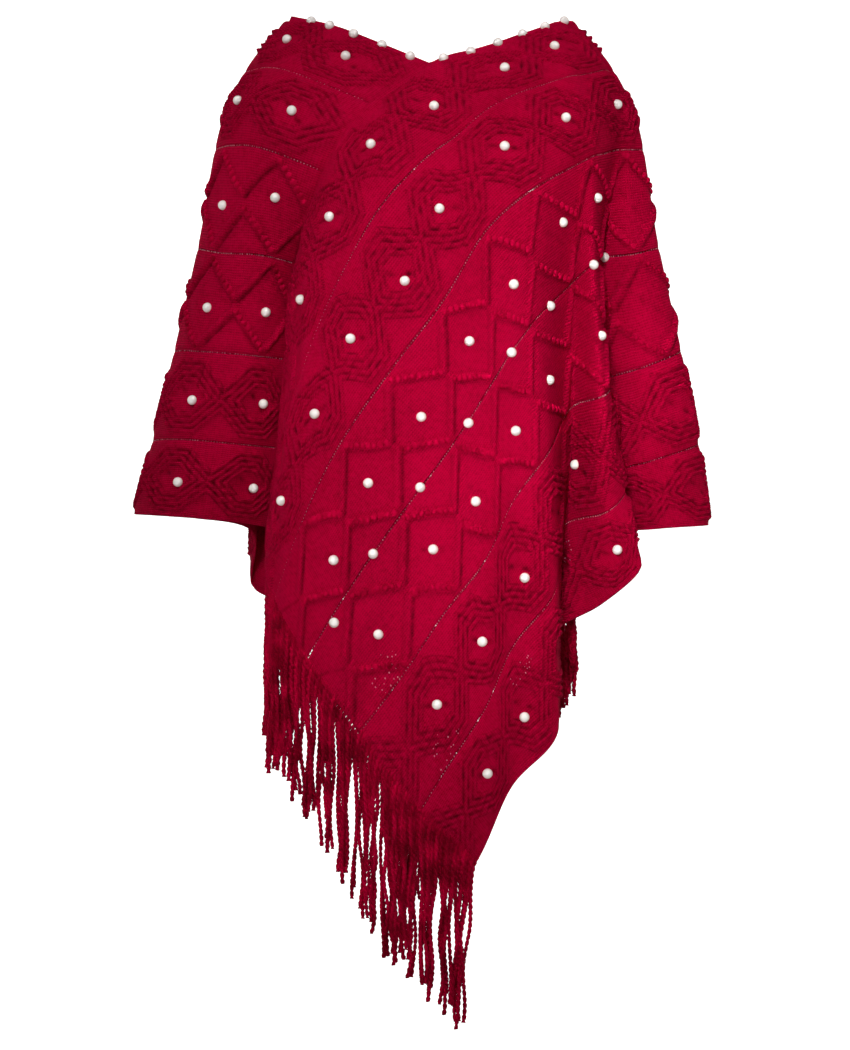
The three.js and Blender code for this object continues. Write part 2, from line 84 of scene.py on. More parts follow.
FOLDS = [
    {"fold": "front seam", "neck": 0, "rim": 0,
     "front": FRONT_SEAM, "back": turned_places(BACK_SEAM)},
    {"fold": "left flank", "neck": .004, "rim": .094,
     "front": [[.004, -.050, -.052], [-.069, -.097, -.136], [-.115, -.090, -.254], [-.140, -.086, -.415],
               [-.161, -.068, -.555]],
     "back": [[.004, -.050, -.052], [-.069, -.097, -.134], [-.113, -.090, -.250], [-.134, -.086, -.405],
              [-.149, -.075, -.542]]},
    {"fold": "left ridge", "neck": .006, "rim": .150,
     "front": [[.006, -.050, -.051], [-.056, -.100, -.134], [-.098, -.108, -.266], [-.135, -.122, -.432],
               [-.158, -.104, -.578]],
     "back": [[.006, -.050, -.051], [-.056, -.100, -.132], [-.097, -.110, -.262], [-.126, -.124, -.424],
              [-.137, -.110, -.570]]},
    {"fold": "left of front", "neck": .008, "rim": .187,
     "front": [[.008, -.050, -.050], [-.050, -.102, -.132], [-.085, -.115, -.271], [-.118, -.131, -.428],
               [-.152, -.125, -.596]],
     "back": [[.008, -.050, -.050], [-.050, -.102, -.130], [-.084, -.117, -.266], [-.108, -.133, -.418],
              [-.122, -.128, -.586]]},
    {"fold": "front left", "neck": .025, "rim": .330,
     "front": [[.024, -.050, -.044], [-.011, -.108, -.149], [-.030, -.128, -.319], [-.057, -.140, -.497],
               [-.095, -.138, -.686]],
     "back": [[.024, -.050, -.044], [-.011, -.108, -.146], [-.030, -.130, -.312], [-.050, -.144, -.485],
              [-.070, -.146, -.656]]},
    {"fold": "front middle", "neck": .050, "rim": .450,
     "front": [[.048, -.047, -.038], [.023, -.110, -.157], [.024, -.134, -.343], [.009, -.143, -.543],
               [-.017, -.145, -.770]],
     "back": [[.048, -.047, -.038], [.023, -.110, -.153], [.024, -.134, -.335], [.012, -.146, -.528],
              [-.002, -.149, -.732]]},
    {"fold": "front point", "neck": .075, "rim": .560,
     "front": [[.072, -.043, -.030], [.059, -.109, -.143], [.059, -.134, -.346], [.054, -.142, -.575],
               [.048, -.140, -.779]],
     "back": [[.072, -.043, -.030], [.059, -.109, -.140], [.059, -.134, -.338], [.056, -.145, -.558],
              [.052, -.146, -.742]]},
    {"fold": "right of point", "neck": .095, "rim": .650,
     "front": [[.089, -.038, -.023], [.087, -.100, -.132], [.082, -.131, -.335], [.082, -.139, -.548],
               [.081, -.138, -.749]],
     "back": [[.089, -.038, -.023], [.087, -.100, -.130], [.082, -.131, -.327], [.082, -.142, -.533],
              [.080, -.143, -.716]]},
    {"fold": "right ridge", "neck": .115, "rim": .745,
     "front": [[.106, -.030, -.016], [.116, -.088, -.121], [.107, -.118, -.313], [.119, -.125, -.515],
               [.125, -.128, -.718]],
     "back": [[.106, -.030, -.016], [.116, -.088, -.119], [.107, -.118, -.306], [.115, -.128, -.500],
              [.114, -.132, -.688]]},
    {"fold": "right valley", "neck": .140, "rim": .865,
     "front": [[.125, -.017, -.007], [.149, -.075, -.108], [.145, -.062, -.275], [.145, -.038, -.460],
               [.123, -.034, -.630]],
     "back": [[.125, -.017, -.007], [.149, -.075, -.107], [.145, -.062, -.271], [.143, -.040, -.452],
              [.126, -.034, -.616]]},
    {"fold": "flare slope", "neck": .145, "rim": .930,
     "front": [[.129, -.014, -.005], [.162, -.066, -.104], [.163, -.075, -.260], [.175, -.088, -.455],
               [.172, -.072, -.600]],
     "back": [[.129, -.014, -.005], [.162, -.066, -.103], [.160, -.075, -.257], [.167, -.088, -.450],
              [.161, -.076, -.600]]},
    {"fold": "flare ridge", "neck": .150, "rim": .990,
     "front": [[.132, -.010, -.004], [.175, -.052, -.099], [.170, -.056, -.256], [.189, -.062, -.443],
               [.209, -.098, -.565]],
     "back": [[.132, -.010, -.002], [.175, -.052, -.098], [.168, -.056, -.253], [.180, -.062, -.440],
              [.187, -.092, -.586]]},
    {"fold": "arm tuck", "neck": .155, "rim": 1.09,
     "front": [[.135, -.006, -.002], [.191, -.030, -.092], [.179, -.014, -.246], [.183, -.008, -.425],
               [.188, -.012, -.530]],
     "back": [[.135, -.006, 0], [.191, -.030, -.092], [.179, -.014, -.246], [.181, -.008, -.422],
              [.186, -.012, -.524]]},
    {"fold": "arm front", "neck": .158, "rim": 1.16,
     "front": [[.137, -.003, -.001], [.199, -.018, -.091], [.205, -.030, -.245], [.220, -.040, -.413],
               [.233, -.044, -.524]],
     "back": [[.137, -.003, .001], [.199, -.018, -.090], [.207, -.030, -.243], [.225, -.040, -.409],
              [.246, -.044, -.513]]},
    {"fold": "arm edge", "neck": .160, "rim": 1.25,
     "front": [[.138, 0, 0], [.206, 0, -.091], [.235, 0, -.236], [.269, 0, -.391],
               [.287, 0, -.520]],
     "back": [[.138, 0, .003], [.206, 0, -.089], [.237, 0, -.236], [.273, 0, -.391],
              [.303, 0, -.509]]},
    {"fold": "arm back", "neck": .215, "rim": 1.31,
     "front": [[.098, .035, -.020], [.187, .035, -.090], [.210, .040, -.245], [.236, .046, -.393],
               [.258, .046, -.518]],
     "back": [[.098, .035, -.012], [.187, .035, -.088], [.212, .040, -.244], [.240, .046, -.391],
              [.269, .046, -.511]]},
    {"fold": "shoulder blade", "neck": .268, "rim": 1.39,
     "front": [[.050, .047, -.037], [.147, .070, -.102], [.164, .058, -.249], [.177, .044, -.396],
               [.189, .038, -.519]],
     "back": [[.050, .047, -.032], [.147, .070, -.101], [.164, .058, -.249], [.180, .044, -.396],
              [.198, .038, -.517]]},
    {"fold": "back seam", "neck": .320, "rim": 1.44,
     "front": BACK_SEAM, "back": turned_places(FRONT_SEAM)},
]
RIMS = np.array([row["rim"] for row in FOLDS], float)
NECKS = np.array([[row["neck"]] for row in FOLDS], float)
PLACES = {side: np.array([row[side] for row in FOLDS], float) for side in ("front", "back")}
LEVELS = np.linspace(0, 1, PLACES["front"].shape[1])

# The pearls.
PEARL_RADIUS = 0.005
PEARL_SEAT = 0.0012
PEARL_SEGMENTS = 16
PEARL_RINGS = 10
LINE_PEARL_COLUMNS = 8
NECK_PEARL_PITCH = 0.029
NECK_PEARL_INSET = 0.0030
# The first pearl's place along the neck, in pitches from the V.
NECK_PEARL_FIRST = 0.4
# Motifs without a pearl, as column and band.
BARE_MOTIFS = {"front": {(0, 0), (1, 0), (2, 5), (3, 4), (5, 4), (6, 3), (6, 4), (6, 5), (7, 2),
                         (7, 3), (7, 4), (7, 5)},
               "back": {(3, 4)}}
# The row of pearls between the diamonds, where a band's number would stand.
LINE = "line"
# Pearls sewn on off the middle of their place: the column, the band or the row between the
# diamonds, and the way off along u and v.
STRAY_PEARLS = {
    "front": {(0, 1): (.010, -.006), (0, 2): (.008, .014), (0, 3): (-.003, .005),
              (0, LINE): (.015, .006), (1, 5): (-.006, .010), (2, 1): (-.005, -.002),
              (2, 2): (-.005, .004), (2, 3): (-.008, .005), (2, 4): (0, .012),
              (2, LINE): (-.012, -.001), (3, 1): (-.001, .008), (3, 3): (-.001, .006),
              (3, LINE): (-.013, .001), (4, 1): (-.006, -.005), (4, 2): (.002, .005),
              (4, 3): (-.008, .002), (4, 5): (.009, 0), (5, 0): (0, .007), (5, 2): (.018, -.008),
              (5, 3): (.020, .006), (6, 0): (.007, .004), (6, 2): (-.001, -.008),
              (7, 0): (-.007, -.004)},
    "back": {(0, 2): (.006, -.004), (3, LINE): (-.009, .002), (4, 1): (.006, .004),
             (8, 0): (-.007, -.005), (8, 2): (.009, .005), (8, 3): (.006, .005),
             (8, 4): (.007, .003), (8, 5): (.009, .004), (9, 0): (-.008, -.004),
             (9, 2): (0, -.007), (9, 3): (0, .005), (9, 4): (.008, 0), (9, 5): (.010, .003)},
}

# The fringe.
STRAND_COUNT = 122
# How far the strands hang at shares of the fringed end, and how far their tips lean sideways.
STRAND_SHARES = (0, .20, .30, .42, .52, .62, .75, .88, 1)
STRAND_LENGTHS = (.150, .164, .168, .140, .142, .162, .172, .166, .164)
STRAND_LEANS = (.004, .003, .001, 0, 0, 0, -.001, -.004, -.008)
STRAND_SPREAD = 0.012
# The most that a strand hangs shorter and longer than its neighbours, in spreads.
STRAND_CHANCE = (-1.4, 1)
STRAND_ROOT = 0.004
# How far below its root a strand turns to hang straight down.
ROOT_BEND = 0.008
# The strands lie in rows, one behind another, that part below the cloth's edge.
STRAND_ROWS = 3
ROW_STEP = 0.0030
ROW_PARTING = 0.012
# The waves of a strand: their lengths, how far they go sideways and back, how far down they reach
# their full size, and how many times further on in its turn the wave to the back starts.
WAVE_LENGTHS = (0.05, 0.15)
WAVE_SIDEWAYS = 0.0018
WAVE_BACK = 0.0024
WAVE_FULL = 0.08
WAVE_LEAD = 1.7
TIP_CHANCE = 0.005
# The strands hang together in small bunches, each drawn towards the middle of its own.
# BUNCH_FULL is how far down a strand is fully drawn in, and BUNCH_CHANCE how unevenly it is.
BUNCH_SIZES = (3, 7)
BUNCH_PULL = 0.42
BUNCH_FULL = 0.11
BUNCH_CHANCE = (0.6, 1.3)
PLY_RADIUS = 0.00165
PLY_OFFSET = 0.00105
PLY_TWIST = 0.0120
PLY_SIDES = 4
STEPS_PER_TWIST = 4

CRIMSON = (0.480, 0.0001, 0.0330, 1)
# A deeper crimson, for the darker mottle and the painted shade between the stitches.
DEEP_CRIMSON = (0.190, 0.0001, 0.0100, 1)
# The colour of the painted shade in the knit's hollows, grooves and gaps.
PAINTED_SHADE_CRIMSON = (0.040, 0.0001, 0.0020, 1)

# The photograph's view, as the frame's size and the camera's place.
CAMERA_PLACE = (-0.0041, -2.700, -0.520)
FRAME_HEIGHT = 1.0815
SENSOR = 36.0


def knot_slopes(knots, values, steady=False):
    """Slopes of a smooth curve at its knots, from the spans on both sides of each."""
    spans = np.diff(knots).reshape((-1,) + (1,) * (values.ndim - 1))
    rates = np.diff(values, axis=0) / spans
    before, after = rates[:-1], rates[1:]
    if steady:
        product = before * after
        total = np.where(product > 0, before + after, 1)
        inner = np.where(product > 0, 2 * product / total, 0)
    else:
        inner = (before * spans[1:] + after * spans[:-1]) / (spans[1:] + spans[:-1])
    first = (1 + END_LEAN) * rates[0] - END_LEAN * inner[0]
    last = (1 + END_LEAN) * rates[-1] - END_LEAN * inner[-1]
    return np.concatenate([first[None], inner, last[None]])


def along_curve(knots, values, slopes, at, own=False):
    """Values of a smooth curve at the places asked for. With own, each place has its own curve."""
    last = len(knots) - 1
    i = np.clip(np.searchsorted(knots, at, side="left") - 1, 0, last - 1)
    pick = (lambda table, k: table[k, np.arange(len(at))]) if own else (lambda table, k: table[k])
    span = (knots[i + 1] - knots[i])[:, None]
    s = (at - knots[i])[:, None] / span
    s2, s3 = s * s, s * s * s
    inside = ((2 * s3 - 3 * s2 + 1) * pick(values, i) + (3 * s2 - 2 * s3) * pick(values, i + 1)
              + span * ((s3 - 2 * s2 + s) * pick(slopes, i) + (s3 - s2) * pick(slopes, i + 1)))
    end = np.full(len(at), last)
    beyond = pick(values, end) + pick(slopes, end) * (at - knots[last])[:, None]
    return np.where((at > knots[last])[:, None], beyond, inside)


NECK_SLOPES = knot_slopes(RIMS, NECKS, steady=True)
PLACE_SLOPES = {side: knot_slopes(RIMS, places) for side, places in PLACES.items()}
TWIN = {"front": "back", "back": "front"}


def cloth(side, u, v):
    """The middle of one side's cloth at flat points, one row of x, y, z for each."""
    low = np.zeros_like(u)
    high = np.full_like(u, RIMS[-1])
    for _ in range(HALVINGS):
        rim = (low + high) / 2
        start = PANEL_WIDTH + along_curve(RIMS, NECKS, NECK_SLOPES, rim)[:, 0]
        end_u = np.maximum(rim - PANEL_WIDTH, 0)
        end_v = np.minimum(rim, PANEL_WIDTH)
        further = (end_u - start) * v - end_v * (u - start) < 0
        low = np.where(further, rim, low)
        high = np.where(further, high, rim)
    rim = (low + high) / 2
    start = PANEL_WIDTH + along_curve(RIMS, NECKS, NECK_SLOPES, rim)[:, 0]
    down = np.maximum(v / PANEL_WIDTH, 0)
    along = np.maximum((start - u) / start, 0)
    level = (down ** CORNER_POWER + along ** CORNER_POWER) ** (1 / CORNER_POWER)
    places, slopes = PLACES[side], PLACE_SLOPES[side]
    rings = np.stack([along_curve(RIMS, places[:, k], slopes[:, k], rim)
                      for k in range(len(LEVELS))])
    return along_curve(LEVELS, rings, knot_slopes(LEVELS, rings), level, own=True)


def unit(vectors):
    return vectors / np.linalg.norm(vectors, axis=-1, keepdims=True)


def half_turn(points):
    return points * np.array([-1, -1, 1])


def directions(side, u, v):
    """The cloth's middle, its directions along u and v, and its outward normal."""
    step_u = np.where(u + PROBE > PANEL_LENGTH, -PROBE, PROBE)
    step_v = np.where(v + PROBE > PANEL_WIDTH, -PROBE, PROBE)
    here = cloth(side, u, v)
    along_u = (cloth(side, u + step_u, v) - here) / step_u[:, None]
    along_v = (cloth(side, u, v + step_v) - here) / step_v[:, None]
    return here, along_u, along_v, unit(np.cross(along_v, along_u))


def framed(side, u, v):
    """The cloth's middle and normal. On a seam the normal is shared with the twin panel, and the
    edge stands back by half the seam's gap."""
    here, along_u, along_v, normal = directions(side, u, v)
    sewn = u >= PANEL_LENGTH
    seam = sewn | ((v <= 0) & (u <= PANEL_WIDTH))
    if seam.any():
        twin_u = np.where(sewn, PANEL_WIDTH - v, PANEL_LENGTH)[seam]
        twin_v = np.where(sewn, 0, PANEL_WIDTH - u)[seam]
        twin_normal = half_turn(directions(TWIN[side], twin_u, twin_v)[3])
        shared = unit(normal[seam] + twin_normal)
        line = unit(np.where(sewn[:, None], along_v, along_u)[seam])
        inward = np.where(sewn[:, None], -along_u, along_v)[seam]
        back = unit(np.cross(line, shared))
        back *= np.where((back * inward).sum(1) < 0, -1, 1)[:, None]
        here[seam] += back * SEAM_GAP / 2
        normal[seam] = shared
    return here, normal


# What the knitting raises above the cloth.
RING_FIRST = 0.0185
RING_PITCH = 0.0062
RING_COUNT = 4
RING_RISE = 0.0038
RING_BUMP = 0.0112
# A ring winds by a share of its pitch, once in so many bumps. Its bumps lean across it by a share
# of a bump, and stand a share of a bump further on than those of the ring inside it.
RING_WINDING = 0.08
WINDING_BUMPS = 1.9
BUMP_LEAN = 0.5
BUMP_SHIFT = 0.37
# How wide the gaps between bumps are, and the share of the height that they cut away on the smooth
# slanting sides, the flat sides and the other slanting sides.
GAP_WIDTH = 0.42
SMOOTH_CUT = 0.10
FLAT_CUT = 0.45
SLANTING_CUT = 0.75
# How quickly the painted shade darkens off a ring's top, and how dark the painted shade in the gaps is.
RING_SHADE = 1.6
GAP_SHADE = 0.9
DIAMOND_REACH = 0.0425
DIAMOND_PARTING = 0.0052
CORD_HALF_WIDTH = 0.0044
CORD_RISE = 0.0042
# The smooth cord swells by a share of its height at each turn of its twist, which leans across it.
CORD_SWELL = 0.08
CORD_TWIST = 0.0125
CORD_LEAN = 0.004
GROOVE_DEPTH = 0.0013
GROOVE_WIDTH = 0.0015
GROOVE_OFF = 0.0005
# Shares of the first groove's depth and painted shade: on the cord's other side, and beside the bobbles.
OTHER_GROOVE = 0.35
BOBBLE_GROOVE = 0.5
# The share of its height that the cord keeps under the bobbles.
UNDER_BOBBLES = 0.22
DIMPLE_DEPTH = 0.0009
DIMPLE_REACH = 0.0085
PINCH_DEPTH = 0.0014
PINCH_OFF = 0.0100
PINCH_LENGTH = 0.0048
PINCH_WIDTH = 0.0026
# The share of the pinch that a pearl in a diamond has.
DIAMOND_PINCH = 0.4
EDGE_FADE = 0.006
EDGE_ROLL = 0.0007


def hexagon_relief(x, y):
    """Ridges round a long hexagon, pointed at both ends along u, each a row of slanting bumps."""
    slant = (np.abs(x) + np.abs(y)) / math.sqrt(2)
    flat_side = np.abs(y) > slant
    far = np.maximum(slant, np.abs(y))
    along = np.where(flat_side, x, (np.abs(x) - np.abs(y)) / math.sqrt(2) * np.sign(x))
    ring = (far - RING_FIRST) / RING_PITCH
    number = np.round(ring)
    turn = 2 * math.pi * along / (WINDING_BUMPS * RING_BUMP) + number * math.pi
    wave = RING_WINDING * np.sin(turn)
    ridge = np.clip(1 - 2 * np.abs(ring + wave - number), 0, 1)
    smooth = (x * y > 0) & ~flat_side
    phase = along / RING_BUMP + BUMP_LEAN * (ring - number) + number * BUMP_SHIFT
    gap = np.exp(-(np.sin(math.pi * phase) / GAP_WIDTH) ** 2)
    deep = np.where(smooth, SMOOTH_CUT, np.where(flat_side, FLAT_CUT, SLANTING_CUT))
    shown = (number >= 0) & (number < RING_COUNT)
    height = RING_RISE * np.sin(ridge * math.pi / 2) * (1 - deep * gap)
    # Painted shade: darker off each ring's top and in the gaps between its bumps.
    between = np.maximum(np.clip(1 - RING_SHADE * ridge, 0, 1), gap * deep * GAP_SHADE)
    return np.where(shown, height, 0), np.where(shown, between, 0)


def diamond_relief(x, y):
    """Two zigzag cords along a band, mirrored, that draw a row of diamonds and nearly touch between
    them. Each runs one way smooth, with a groove beside it, and the other way low, under bobbles."""
    half_pitch = MOTIF_PITCH / 2
    rise = DIAMOND_REACH - DIAMOND_PARTING
    slant = math.hypot(half_pitch, rise)
    off = (np.abs(y) - DIAMOND_PARTING - rise * (1 - np.abs(x) / half_pitch)) * half_pitch / slant
    along = np.abs(x) * slant / half_pitch
    smooth = x * y > 0
    twist = 2 * math.pi * along / CORD_TWIST + off / CORD_LEAN
    swell = np.where(smooth, 1 - CORD_SWELL + CORD_SWELL * np.cos(twist), UNDER_BOBBLES)
    profile = np.sqrt(np.clip(1 - (off / CORD_HALF_WIDTH) ** 2, 0, 1))
    beside = off * np.sign(y) - CORD_HALF_WIDTH - GROOVE_OFF
    other = -off * np.sign(y) - CORD_HALF_WIDTH - GROOVE_OFF
    groove = np.exp(-(beside / GROOVE_WIDTH) ** 2)
    groove += OTHER_GROOVE * np.exp(-(other / GROOVE_WIDTH) ** 2)
    groove *= np.where(smooth, 1, BOBBLE_GROOVE)
    # The grooves are also painted shade: darkest along one side of each cord.
    return CORD_RISE * swell * profile - GROOVE_DEPTH * groove, groove


def pinches(x, y):
    """Where a pearl's thread draws the cloth in at its two sides."""
    across, along = (x - y) / math.sqrt(2), (x + y) / math.sqrt(2)
    return np.exp(-(across / PINCH_WIDTH) ** 2 - ((np.abs(along) - PINCH_OFF) / PINCH_LENGTH) ** 2)


def relief(u, v, band):
    """Height of the knitted relief at flat points of one band, and the painted shade of its hollows."""
    column = np.round((u - FIRST_MOTIF) / MOTIF_PITCH)
    x = u - FIRST_MOTIF - column * MOTIF_PITCH
    y = v - (band + 0.5) * BAND_WIDTH
    is_diamond = band in DIAMOND_BANDS
    raised, hollow = diamond_relief(x, y) if is_diamond else hexagon_relief(x, y)
    dimple = np.exp(-(x * x + y * y) / DIMPLE_REACH ** 2)
    pinch = pinches(x, y) * (DIAMOND_PINCH if is_diamond else 1)
    raised = raised - DIMPLE_DEPTH * dimple - PINCH_DEPTH * pinch
    # The pinch beside each pearl is painted dark too, as its shade.
    hollow = np.maximum(hollow, pinch)
    edge = np.minimum(BAND_WIDTH / 2 - OPENWORK_GAP / 2 - np.abs(y),
                      np.minimum(u, PANEL_LENGTH - u))
    fade = np.clip(edge / EDGE_FADE, 0, 1)
    fade = fade * fade * (3 - 2 * fade)
    return fade * raised - EDGE_ROLL * (1 - fade), fade * hollow


# Creases in the cloth between its folds: flat places of both ends, half width, and rise, which is
# below zero in a trough. Each panel has its own, because the front and the back hang in the same
# way but crease by chance.
FRONT_CREASES = [
    {"crease": "below the neck", "start": (.52, .07), "end": (.40, .16), "width": .014, "rise": -.0030},
    {"crease": "over the bust", "start": (.50, .24), "end": (.30, .34), "width": .018, "rise": -.0028},
    {"crease": "beside the seam", "start": (.50, .020), "end": (.06, .030), "width": .012, "rise": .0030},
    {"crease": "left of front", "start": (.36, .11), "end": (.10, .12), "width": .015, "rise": .0030},
    {"crease": "hollow above the fringe", "start": (.40, .17), "end": (-.08, .43), "width": .056,
     "rise": -.0150},
    {"crease": "tuck at the fringe", "start": (.09, .345), "end": (-.06, .385), "width": .014,
     "rise": -.0060},
    {"crease": "ridge by the tuck", "start": (.14, .300), "end": (-.06, .335), "width": .012,
     "rise": .0035},
    {"crease": "towards the point", "start": (.25, .48), "end": (.03, .53), "width": .016, "rise": .0030},
    {"crease": "shoulder", "start": (.70, .12), "end": (.64, .30), "width": .016, "rise": .0024},
    {"crease": "upper arm", "start": (.72, .30), "end": (.70, .48), "width": .015, "rise": -.0028},
    {"crease": "below the elbow", "start": (.62, .36), "end": (.64, .57), "width": .020, "rise": -.0035},
    {"crease": "behind the arm", "start": (.80, .20), "end": (.83, .44), "width": .014, "rise": .0024},
]
BACK_CREASES = [
    {"crease": "below the neck", "start": (.54, .09), "end": (.43, .20), "width": .015, "rise": -.0024},
    {"crease": "between the blades", "start": (.44, .22), "end": (.34, .36), "width": .014, "rise": .0024},
    {"crease": "across the back", "start": (.36, .12), "end": (.16, .16), "width": .016, "rise": -.0026},
    {"crease": "above the fringe", "start": (.20, .26), "end": (.04, .27), "width": .014, "rise": .0026},
    {"crease": "towards the point", "start": (.28, .42), "end": (.09, .47), "width": .016, "rise": -.0025},
    {"crease": "shoulder", "start": (.69, .15), "end": (.66, .33), "width": .015, "rise": -.0022},
    {"crease": "upper arm", "start": (.74, .28), "end": (.73, .50), "width": .014, "rise": .0024},
    {"crease": "before the arm", "start": (.81, .16), "end": (.84, .40), "width": .015, "rise": -.0022},
]


# Patches where the stitches gape and the light comes through: middle, and reach along u and v.
FRONT_PATCHES = [
    {"patch": "above the fringe", "u": .052, "v": .362, "reach_u": .026, "reach_v": .020},
    {"patch": "by the fringe", "u": .055, "v": .455, "reach_u": .034, "reach_v": .018},
    {"patch": "beside the openwork", "u": .175, "v": .489, "reach_u": .030, "reach_v": .010},
    {"patch": "in the valley", "u": .360, "v": .490, "reach_u": .016, "reach_v": .020},
    {"patch": "on the shoulder", "u": .505, "v": .185, "reach_u": .034, "reach_v": .006},
]
BACK_PATCHES = [
    {"patch": "above the fringe", "u": .060, "v": .300, "reach_u": .024, "reach_v": .018},
]


def gape(u, v, patches):
    """How far the stitches gape at flat points, from 0 to 1."""
    most = np.zeros_like(u)
    for row in patches:
        off = ((u - row["u"]) / row["reach_u"]) ** 2 + ((v - row["v"]) / row["reach_v"]) ** 2
        most = np.maximum(most, np.exp(-off))
    return most


def crease_rise(u, v, creases):
    """How far soft troughs and ridges move the cloth outwards, most half way along each."""
    rise = np.zeros_like(u)
    for row in creases:
        (u0, v0), (u1, v1) = row["start"], row["end"]
        length = math.hypot(u1 - u0, v1 - v0)
        along = ((u - u0) * (u1 - u0) + (v - v0) * (v1 - v0)) / length
        off = ((u - u0) * (v1 - v0) - (v - v0) * (u1 - u0)) / length
        fade = np.clip(np.sin(np.clip(along / length, 0, 1) * math.pi), 0, 1)
        rise += row["rise"] * fade * np.exp(-(off / row["width"]) ** 2)
    return rise


def make_mesh(name, points, faces, material, uv=None, values=None):
    """A piece from points and faces, smooth, with the flat coordinates as its UV map. values holds
    named values of its points for the material."""
    mesh = bpy.data.meshes.new(name)
    mesh.from_pydata(points.tolist(), [], faces)
    mesh.shade_smooth()
    if uv is not None:
        layer = mesh.uv_layers.new(name="flat")
        corner = np.zeros(len(mesh.loops), np.int32)
        mesh.loops.foreach_get("vertex_index", corner)
        layer.data.foreach_set("uv", uv[corner].astype(np.float32).ravel())
    for value_name, value in (values or {}).items():
        layer = mesh.attributes.new(value_name, "FLOAT", "POINT")
        layer.data.foreach_set("value", value.astype(np.float32))
    mesh.materials.append(material)
    mesh.validate()
    piece = bpy.data.objects.new(name, mesh)
    bpy.context.scene.collection.objects.link(piece)
    return piece


def grid_faces(first, rows, columns, outward):
    """Quads of a grid of points that runs in rows along u."""
    index = first + np.arange(rows * columns).reshape(rows, columns)
    a, b, c, d = index[:-1, :-1], index[1:, :-1], index[1:, 1:], index[:-1, 1:]
    quads = np.stack([a, b, c, d] if outward else [a, d, c, b], axis=-1)
    return quads.reshape(-1, 4).tolist()


def border(first, rows, columns):
    """The points round a grid's edge: along u, along v, and back."""
    index = first + np.arange(rows * columns).reshape(rows, columns)
    return np.concatenate([index[0, :-1], index[:-1, -1], index[-1, :0:-1], index[:0:-1, 0]])


def rim_faces(outer, inner):
    """Faces between the outside's edge and the inside's, which has fewer points."""
    faces = []
    count = len(inner)
    for k in range(count):
        near, far = int(inner[k]), int(inner[(k + 1) % count])
        fine = [int(outer[(LINING_STEPS * k + j) % len(outer)]) for j in range(LINING_STEPS + 1)]
        half = LINING_STEPS // 2
        faces += [[fine[j], fine[j + 1], near if j < half else far] for j in range(LINING_STEPS)]
        faces.append([fine[half], far, near])
    return faces


def band_shape(side, band):
    """Flat points, places and normals of a band's outside."""
    step = DIAMOND_STEP if band in DIAMOND_BANDS else HEXAGON_STEP
    low = band * BAND_WIDTH + (OPENWORK_GAP / 2 if band > 0 else 0)
    high = (band + 1) * BAND_WIDTH - (OPENWORK_GAP / 2 if band < BAND_COUNT - 1 else 0)
    steps_v = LINING_STEPS * round((high - low) / step / LINING_STEPS)
    steps_u = LINING_STEPS * round(PANEL_LENGTH / step / LINING_STEPS)
    rows = np.linspace(low, high, steps_v + 1)
    columns = np.linspace(0, PANEL_LENGTH, steps_u + 1)
    v, u = (grid.ravel() for grid in np.meshgrid(rows, columns, indexing="ij"))
    middle, normal = framed(side, u, v)
    return {"band": band, "u": u, "v": v, "middle": middle, "normal": normal,
            "rows": len(rows), "columns": len(columns)}


def band_piece(name, shape, panel, material):
    """One band of a panel as a thin closed shell."""
    rows, columns = shape["rows"], shape["columns"]
    u, v, normal = shape["u"], shape["v"], shape["normal"]
    middle = shape["middle"] + normal * crease_rise(u, v, panel["creases"])[:, None]
    height, hollow = relief(u, v, shape["band"])
    outside = middle + normal * (OUTSIDE + height)[:, None]
    inside = middle - normal * INSIDE
    coarse = np.arange(rows * columns).reshape(rows, columns)[::LINING_STEPS, ::LINING_STEPS]
    points = np.concatenate([outside, inside[coarse.ravel()]])
    if panel["turned"]:
        points = half_turn(points)
    flat = np.stack([u, v], axis=1)
    uv = np.concatenate([flat, flat[coarse.ravel()]])
    first = rows * columns
    faces = grid_faces(0, rows, columns, True)
    faces += grid_faces(first, coarse.shape[0], coarse.shape[1], False)
    faces += rim_faces(border(0, rows, columns), border(first, *coarse.shape))
    rest = np.zeros(coarse.size)
    # hollow carries the relief's painted shade to the material.
    values = {"hollow": np.concatenate([hollow, rest]),
              "gape": np.concatenate([gape(u, v, panel["patches"]), rest])}
    return make_mesh(name, points, faces, material, uv, values)


def creased(side, u, v, creases):
    """The middle of the cloth with its creases, its unit directions and its normal."""
    here, along_u, along_v, normal = directions(side, u, v)
    here += normal * crease_rise(u, v, creases)[:, None]
    return here, unit(along_u), unit(along_v), normal


# The ladders that join the bands.
RUNG_PITCH = 0.0031
RUNG_RADIUS = 0.00060
RUNG_REACH = 0.0016
# The first rung's place, in pitches from the fringed end.
RUNG_FIRST = 0.8
# The most that a rung leans along u, and the radians from one to the next in the wave that
# makes them differ.
RUNG_LEAN = 0.0005
RUNG_WAVE = 2.4


